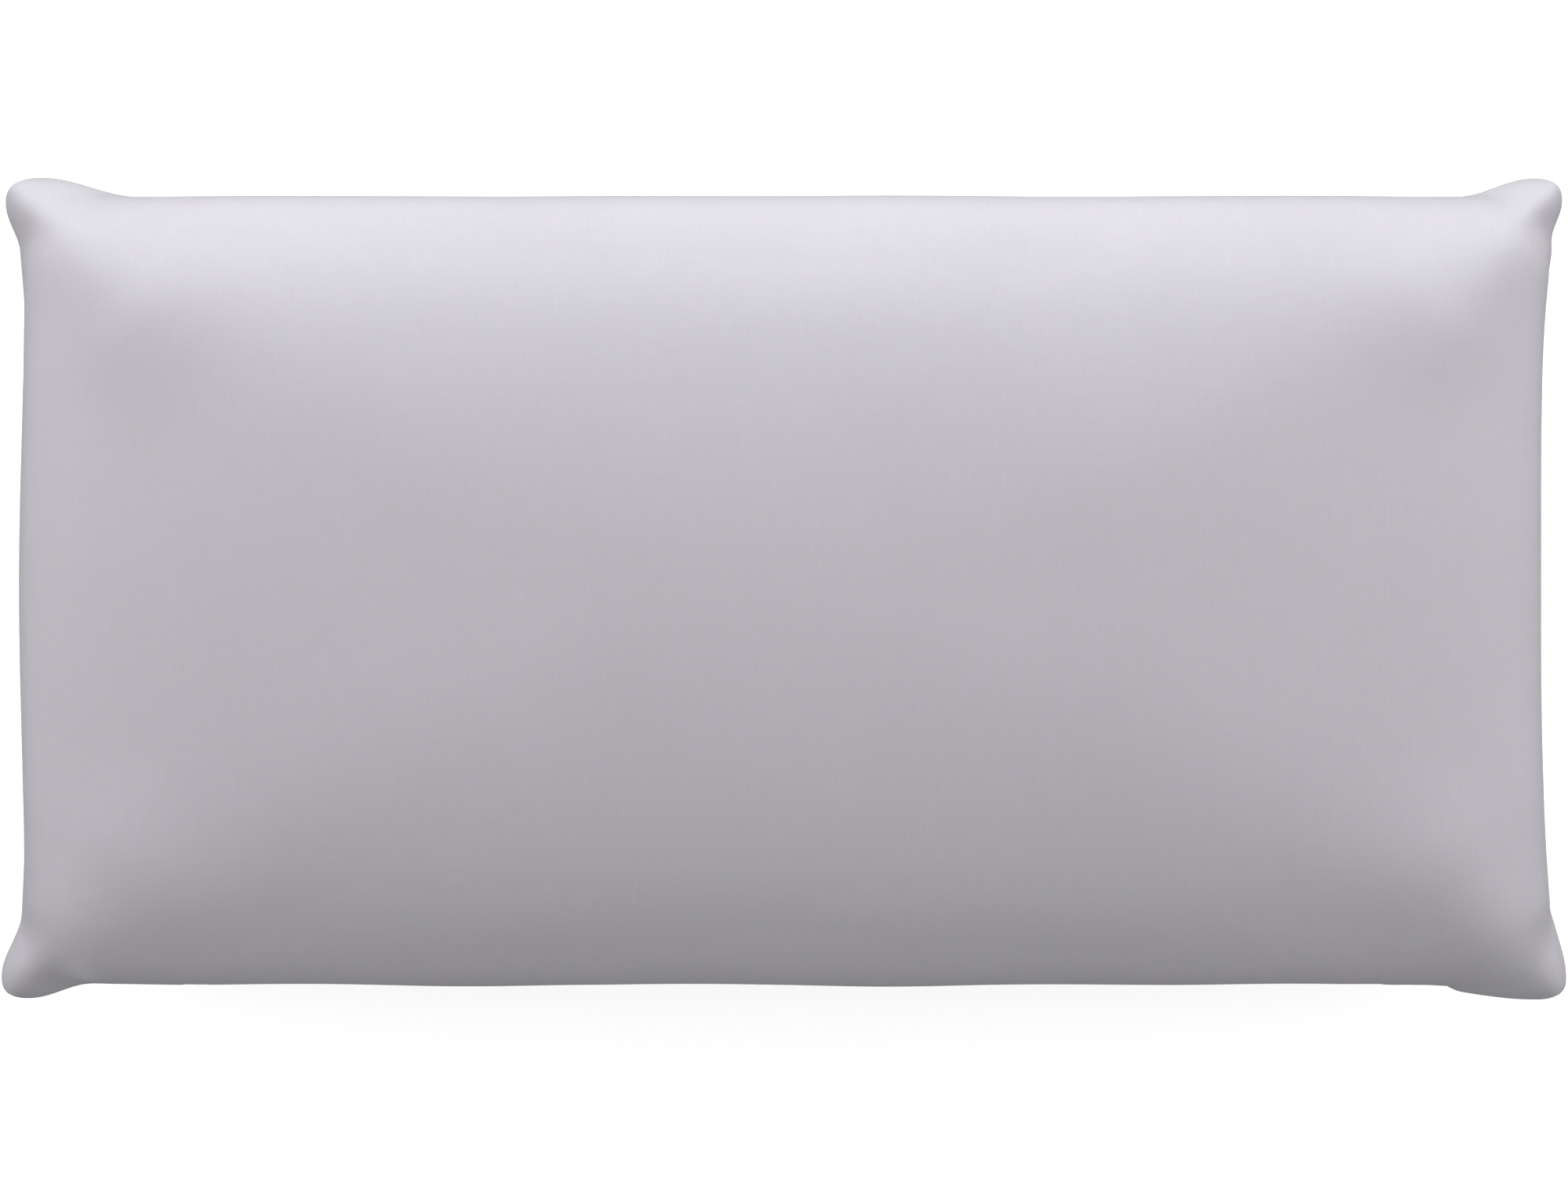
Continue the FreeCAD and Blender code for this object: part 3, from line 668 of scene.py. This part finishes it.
def knit_material(name, tint, wale=0.9, course=0.7):
    """A fine warp knit: V-shaped stitches in upright wales, on UVs that hold cloth lengths in metres."""
    m = Nodes(name)
    uv = m.new("UVMap", uv_map="cloth").outputs["UV"]
    split = m.new("SeparateXYZ")
    m.link(uv, split.inputs["Vector"])
    across = m.math("MULTIPLY", split.outputs["X"], 1.0 / (wale * MM))
    along = m.math("MULTIPLY", split.outputs["Y"], 1.0 / (course * MM))
    slant = m.math("PINGPONG", across, 0.5)
    lean = m.math("ADD", along, m.math("MULTIPLY", slant, 1.3))
    stitch = m.math("SINE", m.math("MULTIPLY", lean, 2 * pi))
    rib = m.math("SINE", m.math("MULTIPLY", across, 2 * pi))
    knit = m.math("ADD", m.math("MULTIPLY", rib, 0.6), m.math("MULTIPLY", stitch, 0.4))

    wales = m.noise(m.stretched(uv, (900.0, 60.0, 1.0)), 1.0, 2.0, 0.6)
    courses = m.noise(m.stretched(uv, (60.0, 900.0, 1.0)), 1.0, 2.0, 0.6)
    patches = m.noise(uv, 9.0, 3.0, 0.55)
    fuzz = m.noise(uv, 1500.0, 3.0, 0.7)

    threads = m.math("ADD", m.math("MULTIPLY", wales, 0.6), m.math("MULTIPLY", courses, 0.4))
    mixed = m.math("ADD", m.math("MULTIPLY", threads, 0.6), m.math("MULTIPLY", patches, 0.4))
    dark, light = [channel * 0.965 for channel in tint], [min(channel * 1.035, 1.0) for channel in tint]
    colour = m.ramp(mixed, ((0.3, dark), (0.7, light)))
    m.link(colour, m.shader.inputs["Base Color"])

    coarse = m.bump(threads, 0.0002, 0.35)
    woven = m.bump(knit, 0.00006, 0.4, coarse)
    m.link(m.bump(fuzz, 0.00005, 0.35, woven), m.shader.inputs["Normal"])
    m.link(m.ramp(fuzz, ((0.2, (0.78,) * 3), (0.8, (0.92,) * 3))), m.shader.inputs["Roughness"])
    m.shader.inputs["Sheen Weight"].default_value = 0.25
    m.shader.inputs["Sheen Roughness"].default_value = 0.5
    m.shader.inputs["Specular IOR Level"].default_value = 0.25
    return m.material


def plain_material(name, tint, roughness, grain=400.0, relief=0.00003):
    """A surface with a fine grain and slight colour variation, on the object's own coordinates."""
    m = Nodes(name)
    place = m.new("TexCoord").outputs["Object"]
    grain_noise = m.noise(place, grain, 3.0, 0.6)
    patches = m.noise(place, grain / 12.0, 2.0, 0.5)
    dark, light = [channel * 0.9 for channel in tint], [min(channel * 1.05, 1.0) for channel in tint]
    m.link(m.ramp(patches, ((0.35, dark), (0.65, light))), m.shader.inputs["Base Color"])
    low, high = roughness * 0.85, min(roughness * 1.15, 1.0)
    m.link(m.ramp(grain_noise, ((0.3, (low,) * 3), (0.7, (high,) * 3))), m.shader.inputs["Roughness"])
    m.link(m.bump(grain_noise, relief, 0.6), m.shader.inputs["Normal"])
    return m.material


# ------------------------------------------------------------------ stage, light and camera


def make_floor():
    """A plain white floor. It glows a little, so that it stays pale under the soft light."""
    bpy.ops.mesh.primitive_plane_add(size=30.0, location=(0, 0, -0.0005))
    floor = bpy.context.object
    floor.name = "floor"
    m = Nodes("floor_white")
    m.shader.inputs["Base Color"].default_value = (0.9, 0.9, 0.9, 1.0)
    m.shader.inputs["Roughness"].default_value = 1.0
    m.shader.inputs["Specular IOR Level"].default_value = 0.0
    m.shader.inputs["Emission Color"].default_value = (1.0, 1.0, 1.0, 1.0)
    m.shader.inputs["Emission Strength"].default_value = 0.8
    floor.data.materials.append(m.material)
    floor.visible_diffuse = False
    floor.visible_glossy = False


def add_light(name, place, target, size, power):
    """A soft rectangular light at place, aimed at target, all in metres."""
    data = bpy.data.lights.new(name, "AREA")
    data.shape = "RECTANGLE"
    data.size, data.size_y = size
    data.energy = power
    light = bpy.data.objects.new(name, data)
    light.location = place
    light.rotation_euler = (Vector(target) - Vector(place)).to_track_quat("-Z", "Y").to_euler()
    bpy.context.scene.collection.objects.link(light)


def make_lights():
    """Most light comes from beyond the pillow's top, with weaker light along its ends and lower side.

    The world is almost dark, and white only where the camera sees it.
    """
    middle = (0.0, 0.0, 0.1)
    add_light("top_low", (0.0, 1.8, 0.35), middle, (2.6, 0.5), 12.3)
    add_light("top_mid", (0.0, 1.5, 0.95), middle, (2.4, 0.8), 15.0)
    add_light("top_high", (0.0, 0.9, 1.6), (0.0, 0.05, 0.1), (1.6, 0.8), 7.4)
    add_light("left_low", (-1.6, 0.1, 0.45), (-0.2, 0.0, 0.1), (0.5, 1.4), 9.0)
    add_light("right_low", (1.6, 0.1, 0.45), (0.2, 0.0, 0.1), (0.5, 1.4), 9.0)
    add_light("low", (0.0, -1.6, 0.35), middle, (2.6, 0.4), 9.0)
    world = bpy.data.worlds.new("studio")
    world.use_nodes = True
    nodes, links = world.node_tree.nodes, world.node_tree.links
    nodes["Background"].inputs["Color"].default_value = (0.93, 0.93, 1.0, 1.0)
    nodes["Background"].inputs["Strength"].default_value = 0.02
    seen = nodes.new("ShaderNodeBackground")
    path = nodes.new("ShaderNodeLightPath")
    mix = nodes.new("ShaderNodeMixShader")
    links.new(path.outputs["Is Camera Ray"], mix.inputs["Fac"])
    links.new(nodes["Background"].outputs[0], mix.inputs[1])
    links.new(seen.outputs[0], mix.inputs[2])
    links.new(mix.outputs[0], nodes["World Output"].inputs["Surface"])
    seen.inputs["Color"].default_value = (1.0, 1.0, 1.0, 1.0)
    bpy.context.scene.world = world


def make_camera():
    """A long lens straight above the pillow, whose length fills the picture's width. +Y is up."""
    data = bpy.data.cameras.new("camera")
    distance = 4.0
    width = 0.7004
    data.sensor_width = 36.0
    data.lens = data.sensor_width * (distance - SEAM * MM) / width
    data.clip_end = 50.0
    camera = bpy.data.objects.new("camera", data)
    camera.location = (0.0, 0.0, distance)
    bpy.context.scene.collection.objects.link(camera)
    bpy.context.scene.camera = camera
    bpy.context.scene.view_settings.view_transform = "Standard"


# ------------------------------------------------------------------ the pillow


def dress(obj, material):
    """Gives an object this material alone."""
    obj.data.materials.clear()
    obj.data.materials.append(material)


def make_cover():
    """The two knitted panels and the seam line between them, in place of their CAD nodes."""
    knit = knit_material("cover_knit", (0.79, 0.766, 0.825))
    for name, up in (("cover_front", True), ("cover_back", False)):
        panel = make_panel(f"{name}_knit", up)
        dress(panel, knit)
        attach(panel, "pillow")
        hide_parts(name)
    thread = make_seam_thread()
    # This thread is coloured darker than the other sewing thread: painted shade for the groove it lies in
    # between the panels.
    dress(thread, plain_material("seam_thread", (0.62, 0.60, 0.65), 0.7, grain=3000.0))
    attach(thread, "pillow")
    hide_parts("cover_seam_thread")


def dress_frame():
    """Gives each CAD node that still shows a material of its own."""
    nodes = frame["nodes"]
    for material, names in (
        (plain_material("liner_tricot", (0.86, 0.86, 0.84), 0.85), ("liner_front", "liner_back")),
        (plain_material("moulded_foam", (0.86, 0.82, 0.68), 0.9), ("foam_core",)),
        (
            plain_material("zipper_tape", (0.74, 0.72, 0.775), 0.85),
            ("zipper_tape_front", "zipper_tape_back"),
        ),
        (
            plain_material("zipper_nylon", (0.8, 0.775, 0.835), 0.35),
            ("zipper_teeth_front", "zipper_teeth_back", "zipper_top_stops", "zipper_bottom_stop"),
        ),
        (
            plain_material("sewing_thread", (0.8, 0.775, 0.835), 0.6),
            (
                "liner_seam_thread",
                "zipper_stitches_front",
                "zipper_stitches_back",
                "zipper_bartacks",
            ),
        ),
        (plain_material("slider_enamel", (0.72, 0.70, 0.755), 0.35), ("slider_body", "pull_tab")),
    ):
        for name in names:
            dress(nodes[name], material)


make_cover()
dress_frame()
make_floor()
make_lights()
make_camera()
